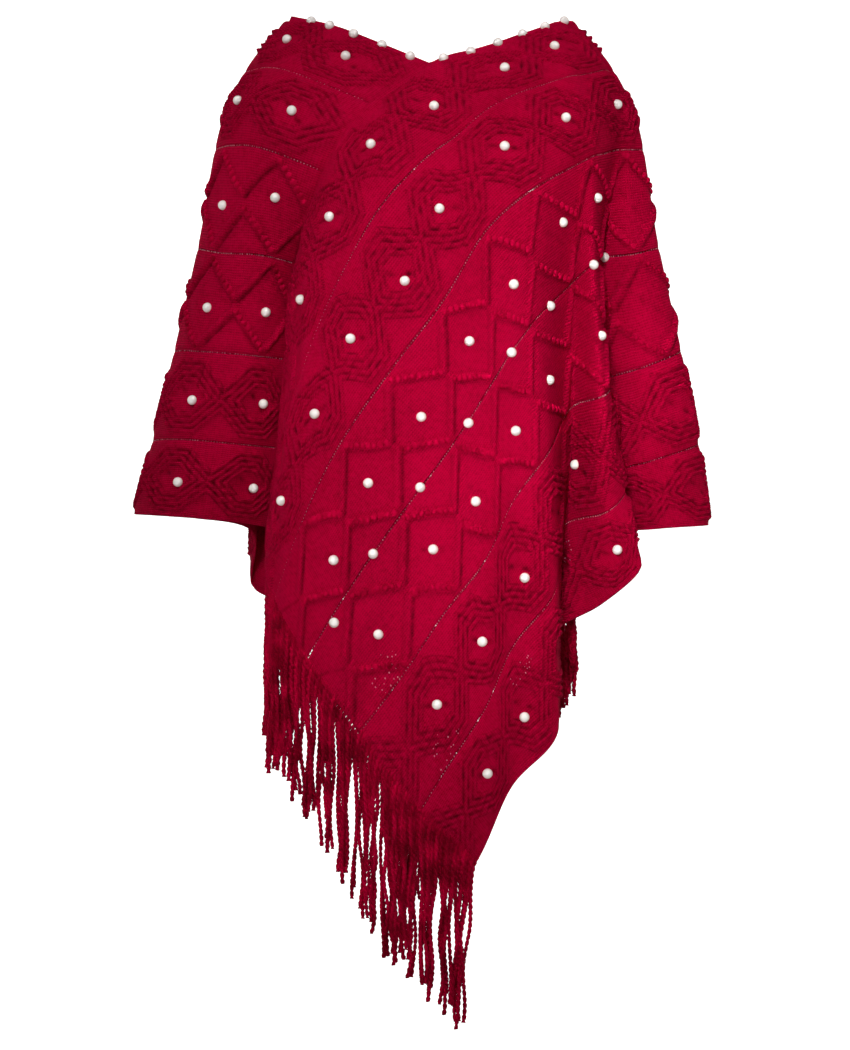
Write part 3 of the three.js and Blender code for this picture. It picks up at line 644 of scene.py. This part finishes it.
def ladder_shape(side_name, creases):
    """Points, faces and flat coordinates of a panel's rungs, square bars across the openwork."""
    count = int((PANEL_LENGTH - RUNG_PITCH) / RUNG_PITCH)
    lines = np.arange(1, BAND_COUNT) * BAND_WIDTH
    along = (np.arange(count) + RUNG_FIRST) * RUNG_PITCH
    v, u = (grid.ravel() for grid in np.meshgrid(lines, along, indexing="ij"))
    slant = RUNG_LEAN * np.sin(np.arange(len(u)) * RUNG_WAVE)
    rings = []
    for reach in (-RUNG_REACH, 0, RUNG_REACH):
        leaning = u + slant * reach / RUNG_REACH
        here, along_u, _, normal = creased(side_name, leaning, v + reach, creases)
        side = along_u * RUNG_RADIUS
        lift = normal * RUNG_RADIUS
        rings += [here + lift, here + side, here - lift, here - side]
    points = np.stack(rings, axis=1)
    uv = np.stack([u, v], axis=1).repeat(points.shape[1], axis=0)
    sides = [[4 * ring + k, 4 * ring + (k + 1) % 4, 4 * ring + 4 + (k + 1) % 4, 4 * ring + 4 + k]
             for ring in (0, 1) for k in range(4)]
    caps = [[3, 2, 1, 0], [8, 9, 10, 11]]
    one = np.array(sides + caps)
    faces = (one[None] + (np.arange(len(u)) * points.shape[1])[:, None, None]).reshape(-1, 4)
    return points.reshape(-1, 3), faces, uv


def pearl_places(side_name):
    """Flat places of a panel's pearls: a grid, the row between the diamonds, and the neck's row."""
    bare, stray = BARE_MOTIFS[side_name], STRAY_PEARLS[side_name]
    sewn = [(column, band, FIRST_MOTIF + column * MOTIF_PITCH, (band + 0.5) * BAND_WIDTH)
            for band in range(BAND_COUNT) for column in range(MOTIF_COLUMNS)
            if (column, band) not in bare]
    middle_line = (DIAMOND_BANDS[0] + 1) * BAND_WIDTH
    sewn += [(column, LINE, FIRST_MOTIF + (column - 0.5) * MOTIF_PITCH, middle_line)
             for column in range(LINE_PEARL_COLUMNS)]
    places = []
    for column, row, u, v in sewn:
        off_u, off_v = stray.get((column, row), (0, 0))
        places.append((u + off_u, v + off_v))
    neck_count = int((PANEL_LENGTH - PANEL_WIDTH) / NECK_PEARL_PITCH)
    places += [(PANEL_WIDTH + (k + NECK_PEARL_FIRST) * NECK_PEARL_PITCH, NECK_PEARL_INSET)
               for k in range(neck_count)]
    return np.array(places)


def deselect():
    for item in bpy.context.selected_objects:
        item.select_set(False)


def model_ball(radius, segments, rings, seat, stretch):
    """A ball cut flat at seat below its middle, shaped in edit mode; returns its points and faces."""
    deselect()
    bpy.ops.mesh.primitive_uv_sphere_add(segments=segments, ring_count=rings, radius=radius,
                                         location=(0, 0, 0))
    ball = bpy.context.object
    bpy.ops.object.mode_set(mode="EDIT")
    bpy.ops.mesh.select_all(action="SELECT")
    bpy.ops.mesh.bisect(plane_co=(0, 0, -seat), plane_no=(0, 0, 1), use_fill=True,
                        clear_inner=True)
    bpy.ops.mesh.select_all(action="SELECT")
    bpy.ops.transform.resize(value=stretch, center_override=(0, 0, 0))
    bpy.ops.object.mode_set(mode="OBJECT")
    points = np.array([corner.co for corner in ball.data.vertices])
    faces = [list(face.vertices) for face in ball.data.polygons]
    bpy.data.objects.remove(ball)
    return points, faces


def set_on(model, places, side, normal):
    """One model set on the cloth at many places, each time with its X along side."""
    points, faces = model
    axes = np.stack([side, np.cross(normal, side), normal], axis=1)
    placed = np.einsum("pa,nab->npb", points, axes) + places[:, None]
    joined = [[int(c) + k * len(points) for c in face]
              for k in range(len(places)) for face in faces]
    return placed.reshape(-1, 3), joined


def pearl_shape(side_name, creases):
    """Points and faces of all the pearls of one panel."""
    flat = pearl_places(side_name)
    here, along_u, _, normal = creased(side_name, flat[:, 0], flat[:, 1], creases)
    model = model_ball(PEARL_RADIUS, PEARL_SEGMENTS, PEARL_RINGS, PEARL_SEAT, (1, 1, 1))
    return set_on(model, here + normal * (OUTSIDE - DIMPLE_DEPTH + PEARL_SEAT), along_u, normal)


# The bobbles, knitted in rows up two sides of each diamond.
BOBBLE_PITCH = 0.0066
BOBBLE_RADIUS = 0.0032
BOBBLE_SEGMENTS = 8
BOBBLE_RINGS = 6
BOBBLE_STRETCH = (0.98, 1.25, 0.85)
BOBBLE_LIFT = 0.0008


def bobble_shape(side_name, creases):
    """Points, faces and flat coordinates of all the bobbles of one panel."""
    half_pitch = MOTIF_PITCH / 2
    rise = DIAMOND_REACH - DIAMOND_PARTING
    count = int(math.hypot(half_pitch, rise) / BOBBLE_PITCH)
    share = (np.arange(count) + 0.5) / count
    u, v = [], []
    for band in DIAMOND_BANDS:
        for column in range(MOTIF_COLUMNS):
            for way in (1, -1):
                u.append(FIRST_MOTIF + column * MOTIF_PITCH + way * half_pitch * share)
                v.append((band + 0.5) * BAND_WIDTH - way * (DIAMOND_PARTING + rise * (1 - share)))
    u, v = np.concatenate(u), np.concatenate(v)
    kept = (u > EDGE_FADE) & (u < PANEL_LENGTH - EDGE_FADE)
    u, v = u[kept], v[kept]
    here, along_u, along_v, normal = creased(side_name, u, v, creases)
    side = unit(half_pitch * along_u + rise * along_v)
    model = model_ball(BOBBLE_RADIUS, BOBBLE_SEGMENTS, BOBBLE_RINGS, 0, BOBBLE_STRETCH)
    points, faces = set_on(model, here + normal * (OUTSIDE + BOBBLE_LIFT), side, normal)
    uv = np.stack([u, v], axis=1).repeat(len(model[0]), axis=0)
    return points, faces, uv


def strand_paths(side_name, creases, seed):
    """The line of each strand of a fringe, from its root in the cloth's edge to its tip."""
    chance = random.Random(seed)
    share = (np.arange(STRAND_COUNT) + 0.5) / STRAND_COUNT
    edge = np.full(STRAND_COUNT, STRAND_ROOT)
    root, along_u, _, _ = creased(side_name, edge, share * PANEL_WIDTH, creases)
    down = -along_u
    middle = root.copy()
    first = 0
    while first < STRAND_COUNT:
        size = chance.randint(*BUNCH_SIZES)
        middle[first:first + size] = root[first:first + size].mean(axis=0)
        first += size
    pull = (middle - root) * BUNCH_PULL
    paths = []
    for k in range(STRAND_COUNT):
        length = np.interp(share[k], STRAND_SHARES, STRAND_LENGTHS)
        length += STRAND_SPREAD * chance.uniform(*STRAND_CHANCE)
        lean = np.interp(share[k], STRAND_SHARES, STRAND_LEANS)
        steps = int(length / PLY_TWIST * STEPS_PER_TWIST)
        s = np.linspace(0, length, steps + 1)
        bend = np.exp(-s / ROOT_BEND)[:, None]
        heading = unit(down[k] * bend + np.array([0, 0, -1]) * (1 - bend))
        way_down = np.cumsum(heading[:-1] * np.diff(s)[:, None], 0)
        path = root[k] + np.concatenate([[[0, 0, 0]], way_down])
        wave = chance.uniform(*WAVE_LENGTHS)
        reach = lean + chance.uniform(-TIP_CHANCE, TIP_CHANCE)
        turn = chance.uniform(0, 2 * math.pi)
        sway = np.clip(s / WAVE_FULL, 0, 1)
        drawn = np.clip(s / BUNCH_FULL, 0, 1) * chance.uniform(*BUNCH_CHANCE)
        sideways = WAVE_SIDEWAYS * np.sin(2 * math.pi * s / wave + turn)
        path[:, 0] += pull[k, 0] * drawn
        path[:, 0] += sway * (reach * s / length + sideways)
        path[:, 1] += pull[k, 1] * drawn
        path[:, 1] += sway * WAVE_BACK * np.cos(2 * math.pi * s / wave + turn * WAVE_LEAD)
        row = k % STRAND_ROWS - STRAND_ROWS // 2
        path[:, 1] += ROW_STEP * row * np.clip(s / ROW_PARTING, 0, 1)
        paths.append((s, path))
    return paths


def round_line(angles):
    """Level unit steps out from a hanging line, at an angle for each of its points."""
    return np.stack([np.cos(angles), np.sin(angles), 0 * angles], axis=1)


def fringe_shape(side_name, creases, seed):
    """Points, faces and UV coordinates of a fringe of two-ply cords."""
    points, faces, uv = [], [], []
    first = 0
    for s, path in strand_paths(side_name, creases, seed):
        turn = 2 * math.pi * s / PLY_TWIST
        for ply in (0, math.pi):
            centre = path + PLY_OFFSET * round_line(turn + ply)
            for side in range(PLY_SIDES):
                angle = turn + ply + 2 * math.pi * side / PLY_SIDES
                points.append(centre + PLY_RADIUS * round_line(angle))
                uv.append(np.stack([s, np.full(len(s), side * PLY_RADIUS)], 1))
            rows = len(s)
            index = first + np.arange(PLY_SIDES * rows).reshape(PLY_SIDES, rows)
            nxt = np.roll(index, -1, axis=0)
            quads = np.stack([index[:, :-1], index[:, 1:], nxt[:, 1:], nxt[:, :-1]], -1)
            faces += quads.reshape(-1, 4).tolist()
            faces.append(index[:, 0].tolist())
            faces.append(index[::-1, -1].tolist())
            first += PLY_SIDES * rows
    return np.concatenate(points), faces, np.concatenate(uv)


def link(tree, kind, inputs=None, **settings):
    """A node with its settings, and its inputs set to values or joined to other sockets."""
    node = tree.nodes.new(kind)
    for key, value in settings.items():
        setattr(node, key, value)
    for key, value in (inputs or {}).items():
        if isinstance(value, bpy.types.NodeSocket):
            tree.links.new(value, node.inputs[key])
        else:
            node.inputs[key].default_value = value
    return node


def maths(tree, operation, first, second=0.0, third=0.0):
    return link(tree, "ShaderNodeMath", {0: first, 1: second, 2: third},
                operation=operation).outputs[0]


def new_material(name):
    material = bpy.data.materials.new(name)
    material.use_nodes = True
    tree = material.node_tree
    tree.nodes.clear()
    surface = link(tree, "ShaderNodeBsdfPrincipled")
    output = link(tree, "ShaderNodeOutputMaterial")
    tree.links.new(surface.outputs[0], output.inputs[0])
    return material, tree, surface


def noise(tree, place, grains, detail):
    """Soft noise with so many grains to a metre."""
    inputs = {"Vector": place, "Scale": grains, "Detail": detail}
    return link(tree, "ShaderNodeTexNoise", inputs).outputs[0]


def blend(tree, share, under, over):
    """One colour over another by a share."""
    return link(tree, "ShaderNodeMix", {0: share, 6: under, 7: over}, data_type="RGBA").outputs[2]


def two_colours(tree, share, first, first_to, second, second_from):
    """A colour that is the first up to one share and the second from another."""
    ramp = link(tree, "ShaderNodeValToRGB", {0: share})
    ramp.color_ramp.elements[0].position = first_to
    ramp.color_ramp.elements[0].color = first
    ramp.color_ramp.elements[1].position = second_from
    ramp.color_ramp.elements[1].color = second
    return ramp.outputs[0]


def wool_finish(surface):
    """The dull finish of wool, which the knit and the yarn share."""
    surface.inputs["Roughness"].default_value = 0.9
    surface.inputs["Specular IOR Level"].default_value = 0.02
    surface.inputs["Sheen Weight"].default_value = 0.06
    surface.inputs["Sheen Tint"].default_value = (0.9, 0.0, 0.10, 1)


# The stitches, and the shares of ribs, stitches and fuzz in the height of their bump.
WALE_PITCH = 0.0023
STITCH_PITCH = 0.0030
WALE_WANDER = 0.9
RIB_SHARE = 0.6
STITCH_SHARE = 0.4
FUZZ_SHARE = 0.35
STITCH_BUMP = 0.0011
# Grains of noise to a metre.
CLOUD_GRAINS = 9
WANDER_GRAINS = 60
HOLLOW_GRAINS = 110
FLECK_GRAINS = 260
FUZZ_GRAINS = 1100
FIBRE_GRAINS = 1500
# The shares of flecks, clouds and height in the colour, and the share up to which it is deep.
FLECK_SHARE = 0.60
CLOUD_SHARE = 0.40
# The height's share is painted shade, darker between the ribs and the stitches.
HEIGHT_SHADE_SHARE = 0.45
DEEP_TO = 0.50
# How dark the painted shade in a hollow is: noise times the first, with the second added.
PAINTED_SHADE_GAIN = 1.5
PAINTED_SHADE_OFFSET = -0.16
# The holes of gaping stitches: their pitches, how unevenly they lie, their reach in pitches, the
# sum of gape and noise above which they show, and how strongly the light comes through.
HOLE_PITCH_U = 0.0036
HOLE_PITCH_V = 0.0046
HOLE_SCATTER = 0.6
HOLE_REACH = 0.19
HOLE_FROM = 1.08
HOLE_LIGHT = 0.7
LIGHT_THROUGH = (0.72, 0.26, 0.32, 1)


def stitch_height(tree, flat_u, flat_v, place):
    """The height of the ribs, stitches and fuzz."""
    wale = maths(tree, "DIVIDE", flat_v, WALE_PITCH)
    wale = maths(tree, "MULTIPLY_ADD", noise(tree, place, WANDER_GRAINS, 2), WALE_WANDER, wale)
    across = maths(tree, "ABSOLUTE", maths(tree, "SUBTRACT", maths(tree, "FRACT", wale), 0.5))
    row = maths(tree, "ADD", maths(tree, "DIVIDE", flat_u, STITCH_PITCH), across)
    rib = maths(tree, "ABSOLUTE", maths(tree, "SINE", maths(tree, "MULTIPLY", wale, math.pi)))
    stitch = maths(tree, "ABSOLUTE", maths(tree, "SINE", maths(tree, "MULTIPLY", row, math.pi)))
    height = maths(tree, "MULTIPLY", stitch, STITCH_SHARE)
    height = maths(tree, "MULTIPLY_ADD", rib, RIB_SHARE, height)
    return maths(tree, "MULTIPLY_ADD", noise(tree, place, FUZZ_GRAINS, 3), FUZZ_SHARE, height)


def hole_glints(tree, flat_u, flat_v, patchy):
    """1 in the holes of the stitches that gape, and 0 elsewhere."""
    gaping = link(tree, "ShaderNodeAttribute", attribute_name="gape").outputs["Fac"]
    place = link(tree, "ShaderNodeCombineXYZ", {0: maths(tree, "MULTIPLY", flat_u, 1 / HOLE_PITCH_U),
                                                1: maths(tree, "MULTIPLY", flat_v, 1 / HOLE_PITCH_V)})
    holes = link(tree, "ShaderNodeTexVoronoi", {"Vector": place.outputs[0], "Scale": 1.0,
                                                "Randomness": HOLE_SCATTER})
    near = maths(tree, "LESS_THAN", holes.outputs["Distance"], HOLE_REACH)
    return maths(tree, "MULTIPLY", near,
                 maths(tree, "GREATER_THAN", maths(tree, "ADD", gaping, patchy), HOLE_FROM))


def knit_material():
    """Stocking stitch with its wales along u, in a soft yarn."""
    material, tree, surface = new_material("crimson_knit")
    flat = link(tree, "ShaderNodeUVMap", uv_map="flat").outputs[0]
    flat_u, flat_v, _ = link(tree, "ShaderNodeSeparateXYZ", {0: flat}).outputs
    place = link(tree, "ShaderNodeTexCoord").outputs["Object"]
    height = stitch_height(tree, flat_u, flat_v, place)
    bump = link(tree, "ShaderNodeBump", {"Height": height, "Distance": STITCH_BUMP, "Strength": 1.0})
    mottle = maths(tree, "MULTIPLY", noise(tree, place, CLOUD_GRAINS, 3), CLOUD_SHARE)
    mottle = maths(tree, "MULTIPLY_ADD", noise(tree, place, FLECK_GRAINS, 2), FLECK_SHARE, mottle)
    # The stitches' height darkens the colour between them as painted shade.
    lightness = maths(tree, "MULTIPLY_ADD", height, HEIGHT_SHADE_SHARE, mottle)
    colour = two_colours(tree, lightness, DEEP_CRIMSON, DEEP_TO, CRIMSON, 1.0)
    # Painted shade in the relief's hollows, grooves and gaps, broken up by patchy noise.
    hollow = link(tree, "ShaderNodeAttribute", attribute_name="hollow").outputs["Fac"]
    patchy = noise(tree, place, HOLLOW_GRAINS, 2)
    shade = maths(tree, "MULTIPLY_ADD", patchy, PAINTED_SHADE_GAIN, PAINTED_SHADE_OFFSET)
    colour = blend(tree, maths(tree, "MULTIPLY", hollow, shade), colour, PAINTED_SHADE_CRIMSON)
    glint = hole_glints(tree, flat_u, flat_v, patchy)
    colour = blend(tree, maths(tree, "MULTIPLY", glint, HOLE_LIGHT), colour, LIGHT_THROUGH)
    tree.links.new(colour, surface.inputs["Base Color"])
    tree.links.new(bump.outputs[0], surface.inputs["Normal"])
    wool_finish(surface)
    surface.inputs["Sheen Roughness"].default_value = 0.5
    return material


# Shares of patches and fibres in a yarn's lightness, the share over which dark turns to light, and
# the height and strength of its fibres' bump.
PATCH_SHARE = 0.75
FIBRE_SHARE = 0.25
DARK_TO_LIGHT = 0.2
FIBRE_BUMP = 0.0005
FIBRE_STRENGTH = 0.5


def yarn_material(name, light, dark, light_from, patch_grains):
    """Twisted yarn with fine fibres, dark but for the patches that are above light_from."""
    material, tree, surface = new_material(name)
    place = link(tree, "ShaderNodeTexCoord").outputs["Object"]
    fibre = noise(tree, place, FIBRE_GRAINS, 3)
    lightness = maths(tree, "MULTIPLY_ADD", noise(tree, place, patch_grains, 3), PATCH_SHARE,
                      maths(tree, "MULTIPLY", fibre, FIBRE_SHARE))
    colour = two_colours(tree, lightness, dark, light_from - DARK_TO_LIGHT, light, light_from)
    bump = link(tree, "ShaderNodeBump", {"Height": fibre, "Distance": FIBRE_BUMP,
                                         "Strength": FIBRE_STRENGTH})
    tree.links.new(colour, surface.inputs["Base Color"])
    tree.links.new(bump.outputs[0], surface.inputs["Normal"])
    wool_finish(surface)
    return material


# A pearl's own white, and the rosy painted shade it turns to towards its rim.
PEARL_FACE = (0.97, 0.94, 0.90, 1)
PEARL_PAINTED_RIM_SHADE = (0.80, 0.60, 0.56, 1)
PEARL_BLEND = 0.35


def pearl_material():
    """A pearly bead: white, turning to a rosy painted shade towards its sides, under a clear coat."""
    material, tree, surface = new_material("pearl_lustre")
    facing = link(tree, "ShaderNodeLayerWeight", {"Blend": PEARL_BLEND}).outputs["Facing"]
    colour = two_colours(tree, facing, PEARL_FACE, 0.0, PEARL_PAINTED_RIM_SHADE, 1.0)
    tree.links.new(colour, surface.inputs["Base Color"])
    surface.inputs["Roughness"].default_value = 0.28
    surface.inputs["Coat Weight"].default_value = 0.6
    surface.inputs["Coat Roughness"].default_value = 0.08
    surface.inputs["Sheen Weight"].default_value = 0.2
    return material


def build_camera():
    data = bpy.data.cameras.new("camera")
    data.sensor_width = SENSOR
    data.lens = SENSOR * -CAMERA_PLACE[1] / FRAME_HEIGHT
    camera = bpy.data.objects.new("camera", data)
    camera.location = CAMERA_PLACE
    camera.rotation_euler = (math.pi / 2, 0, 0)
    bpy.context.scene.collection.objects.link(camera)
    bpy.context.scene.camera = camera


FLOOR_HEIGHT = -1.25
SWEEP_FRONT = -5.5
SWEEP_DEPTH = 6.5
SWEEP_STEPS = 16
SWEEP_RADIUS = 1.5
SWEEP_HALF_WIDTH = 9.0
SWEEP_HEIGHT = 6.0
BACKDROP_GREY = (0.80, 0.80, 0.80, 1)
# The backdrop starts to glow a little way behind the object, and glows fully from further on.
GLOW_FROM = 0.35
GLOW_FULL = 0.85
GLOW = 0.96


def build_backdrop():
    """A pale floor that sweeps up into a wall behind the object."""
    profile = [(SWEEP_FRONT, FLOOR_HEIGHT), (SWEEP_DEPTH - SWEEP_RADIUS, FLOOR_HEIGHT)]
    for k in range(1, SWEEP_STEPS + 1):
        angle = k / SWEEP_STEPS * math.pi / 2
        profile.append((SWEEP_DEPTH - SWEEP_RADIUS + SWEEP_RADIUS * math.sin(angle),
                        FLOOR_HEIGHT + SWEEP_RADIUS * (1 - math.cos(angle))))
    profile.append((SWEEP_DEPTH, SWEEP_HEIGHT))
    points = np.array([(x, y, z) for x in (-SWEEP_HALF_WIDTH, SWEEP_HALF_WIDTH) for y, z in profile])
    count = len(profile)
    faces = [[k, k + count, k + count + 1, k + 1] for k in range(count - 1)]
    material, tree, surface = new_material("pale_backdrop")
    surface.inputs["Base Color"].default_value = BACKDROP_GREY
    surface.inputs["Roughness"].default_value = 1
    surface.inputs["Specular IOR Level"].default_value = 0
    surface.inputs["Emission Color"].default_value = (1, 1, 1, 1)
    place = link(tree, "ShaderNodeTexCoord").outputs["Object"]
    depth = link(tree, "ShaderNodeSeparateXYZ", {0: place}).outputs[1]
    glow = link(tree, "ShaderNodeMapRange", {"Value": depth, "From Min": GLOW_FROM,
                                             "From Max": GLOW_FULL, "To Max": GLOW})
    tree.links.new(glow.outputs[0], surface.inputs["Emission Strength"])
    backdrop = make_mesh("backdrop", points, faces, material)


# The middle of the cape, and two places on its front that narrow beams are aimed at.
CAPE_MIDDLE = (0, 0, -0.5)
FRONT_HIGH = (0.14, -0.10, -0.25)
FRONT_LOW = (0.15, -0.10, -0.56)
SKY = 0.12
# Square softboxes: side in metres, power in watts, and the whole angle of the beam in degrees.
LIGHTS = [
    {"light": "softbox_high", "place": (-0.25, -2.9, 0.5), "target": FRONT_HIGH, "side": 0.5,
     "power": 0.74, "spread": 19},
    {"light": "softbox_low", "place": (-0.25, -2.9, 0.1), "target": FRONT_LOW, "side": 0.5,
     "power": 0.78, "spread": 18},
    {"light": "softbox_right", "place": (2.0, -2.0, 1.8), "target": CAPE_MIDDLE, "side": 0.5,
     "power": 7, "spread": 180},
    {"light": "softbox_left", "place": (-2.1, -1.9, 1.5), "target": CAPE_MIDDLE, "side": 0.5,
     "power": 20, "spread": 180},
    {"light": "softbox_top", "place": (0.2, -1.3, 2.3), "target": CAPE_MIDDLE, "side": 0.8,
     "power": 24, "spread": 180},
]


def softbox(row):
    """One light of the table, turned to its target."""
    data = bpy.data.lights.new(row["light"], "AREA")
    data.size = row["side"]
    data.energy = row["power"]
    data.spread = math.radians(row["spread"])
    lamp = bpy.data.objects.new(row["light"], data)
    lamp.location = row["place"]
    way = Vector(row["target"]) - Vector(row["place"])
    lamp.rotation_euler = way.to_track_quat("-Z", "Y").to_euler()
    bpy.context.scene.collection.objects.link(lamp)


def build_lights():
    world = bpy.data.worlds.new("studio")
    world.use_nodes = True
    sky = world.node_tree.nodes["Background"]
    sky.inputs["Color"].default_value = (1, 1, 1, 1)
    sky.inputs["Strength"].default_value = SKY
    bpy.context.scene.world = world
    for row in LIGHTS:
        softbox(row)


bpy.context.scene.view_settings.view_transform = "Standard"
build_camera()
build_backdrop()
build_lights()

# The ladder yarn is deep crimson, with pale specks painted on as glints of light.
LADDER_PAINTED_GLINT = (0.70, 0.24, 0.30, 1)
LADDER_DARK = (0.24, 0.0002, 0.014, 1)
FRINGE_LIGHT = (0.46, 0.0001, 0.0300, 1)
FRINGE_DARK = (0.20, 0.0001, 0.0110, 1)

knit = knit_material()
# Its light patches are painted glints.
ladder_yarn = yarn_material("ladder_yarn", LADDER_PAINTED_GLINT, LADDER_DARK, light_from=0.61,
                            patch_grains=320)
fringe_yarn = yarn_material("fringe_yarn", FRINGE_LIGHT, FRINGE_DARK, light_from=0.60,
                            patch_grains=40)
pearl = pearl_material()

PANELS = [
    {"panel": "front_right", "side": "front", "turned": False, "seed": 11,
     "creases": FRONT_CREASES, "patches": FRONT_PATCHES},
    {"panel": "back_left", "side": "back", "turned": True, "seed": 23,
     "creases": BACK_CREASES, "patches": BACK_PATCHES},
]


def dress(panel):
    """All the pieces of one panel: its bands, ladders, pearls and fringe."""
    turn = half_turn if panel["turned"] else (lambda points: points)
    name, side_name, creases = panel["panel"], panel["side"], panel["creases"]
    points, faces, uv = ladder_shape(side_name, creases)
    ladder = make_mesh(name + "_ladders", turn(points), faces.tolist(), ladder_yarn, uv)
    points, faces = pearl_shape(side_name, creases)
    pearls = make_mesh(name + "_pearls", turn(points), faces, pearl)
    points, faces, uv = bobble_shape(side_name, creases)
    bobbles = make_mesh(name + "_bobbles", turn(points), faces, knit, uv)
    points, faces, uv = fringe_shape(side_name, creases, panel["seed"])
    fringe = make_mesh(name + "_fringe", turn(points), faces, fringe_yarn, uv)
    for piece, slot in ((ladder, "knit"), (pearls, "pearl"), (bobbles, "knit"), (fringe, "fringe")):
        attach(piece, "root")
    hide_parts(side_name + "_fringe")
    for number in range(BAND_COUNT):
        shape = band_shape(side_name, number)
        band = band_piece(f"{name}_band_{number + 1}", shape, panel, knit)
        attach(band, "root")
        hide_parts(name + "_panel")


for panel in PANELS:
    dress(panel)
